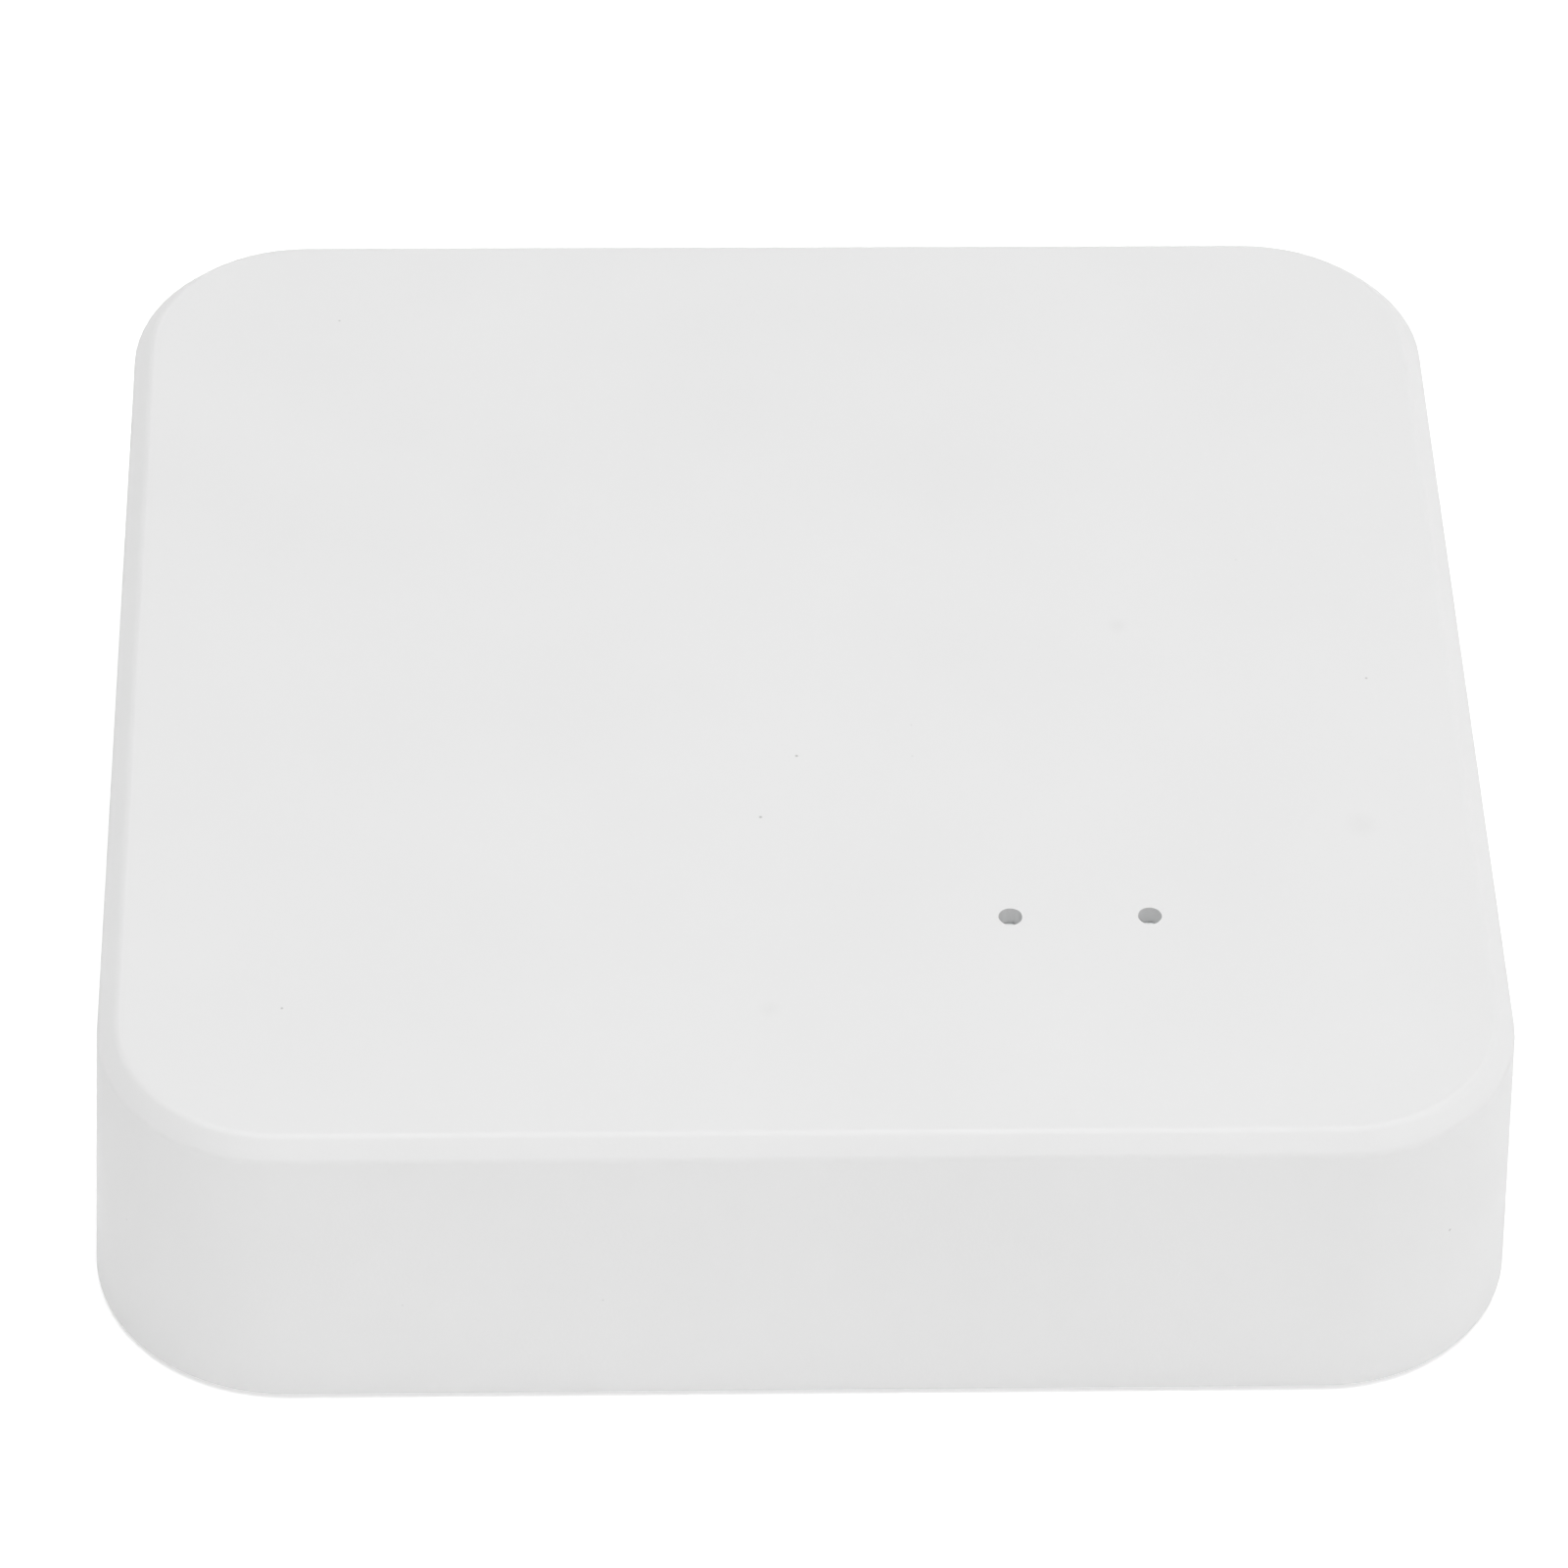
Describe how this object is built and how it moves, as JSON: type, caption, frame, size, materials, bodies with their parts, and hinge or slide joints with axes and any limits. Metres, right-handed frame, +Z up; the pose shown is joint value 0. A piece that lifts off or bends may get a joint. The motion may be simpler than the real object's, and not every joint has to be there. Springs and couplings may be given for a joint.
{
  "type": "smart home hub",
  "caption": "Low square smart home hub with round corners and a chamfered top: shell, snap-in cover, circuit board, network jack, power socket, reset button, status lights and feet.",
  "frame": {"origin": "middle of the footprint, on the plane that the feet stand on", "axes": "+Z up, -Y the front, +Y the rear with the sockets, +X to the right seen from the front"},
  "size_m": [0.09, 0.09, 0.0214],
  "materials": {
    "case_plastic": "fine matte mould texture",
    "label_film": "satin film, blank",
    "foot_rubber": "soft matte",
    "board_laminate": "solder mask",
    "screw_steel": "zinc plated",
    "black_plastic": "moulded",
    "white_plastic": "moulded",
    "tinned_steel": "tin plated sheet",
    "contact_brass": "gold plated",
    "clear_plastic": "clear",
    "led_resin": "clear resin",
    "chip_plastic": "moulded epoxy",
    "capacitor_can": "satin can",
    "ceramic": "fired"
  },
  "bodies": {
    "hub": {"top_shell": "case_plastic", "bottom_cover": "case_plastic", "foot_front_left": "foot_rubber", "foot_front_right": "foot_rubber", "foot_rear_left": "foot_rubber", "foot_rear_right": "foot_rubber", "rating_label": "label_film", "main_board": "board_laminate", "board_screws": "screw_steel", "jack_body": "black_plastic", "jack_shield": "tinned_steel", "jack_contacts": "contact_brass", "usb_shell": "tinned_steel", "usb_insulator": "black_plastic", "usb_contacts": "contact_brass", "reset_switch_base": "black_plastic", "reset_switch_dome": "tinned_steel", "reset_switch_cover": "tinned_steel", "reset_switch_terminals": "tinned_steel", "light_pipe_left": "clear_plastic", "light_pipe_right": "clear_plastic", "status_led_left": "led_resin", "status_led_right": "led_resin", "network_transformer": "chip_plastic", "processor": "chip_plastic", "working_memory": "chip_plastic", "flash_memory": "chip_plastic", "processor_crystal": "tinned_steel", "voltage_regulator": "chip_plastic", "power_inductor": "chip_plastic", "smoothing_capacitor_1": "capacitor_can", "smoothing_capacitor_2": "capacitor_can", "chip_capacitors": "ceramic", "chip_resistors": "chip_plastic", "radio_board": "board_laminate", "radio_shield_can": "tinned_steel", "radio_antenna": "contact_brass", "radio_crystal": "tinned_steel"},
    "button": {"reset_button": "case_plastic"},
    "plunger": {"reset_switch_plunger": "white_plastic"}
  },
  "joints": [
    {"name": "reset_press", "type": "slide", "parent": "hub", "child": "button", "axis": [0, -1, 0], "range_m": [0, 0.00025], "stiffness_N_per_m": 1000, "springref_m": -0.0005},
    {"name": "plunger_press", "type": "slide", "parent": "hub", "child": "plunger", "axis": [0, -1, 0], "range_m": [0, 0.00025], "deforming": ["reset_switch_dome"]}
  ],
  "couplings": [
    {"joint": "plunger_press", "follows": "reset_press", "ratio": 1}
  ]
}
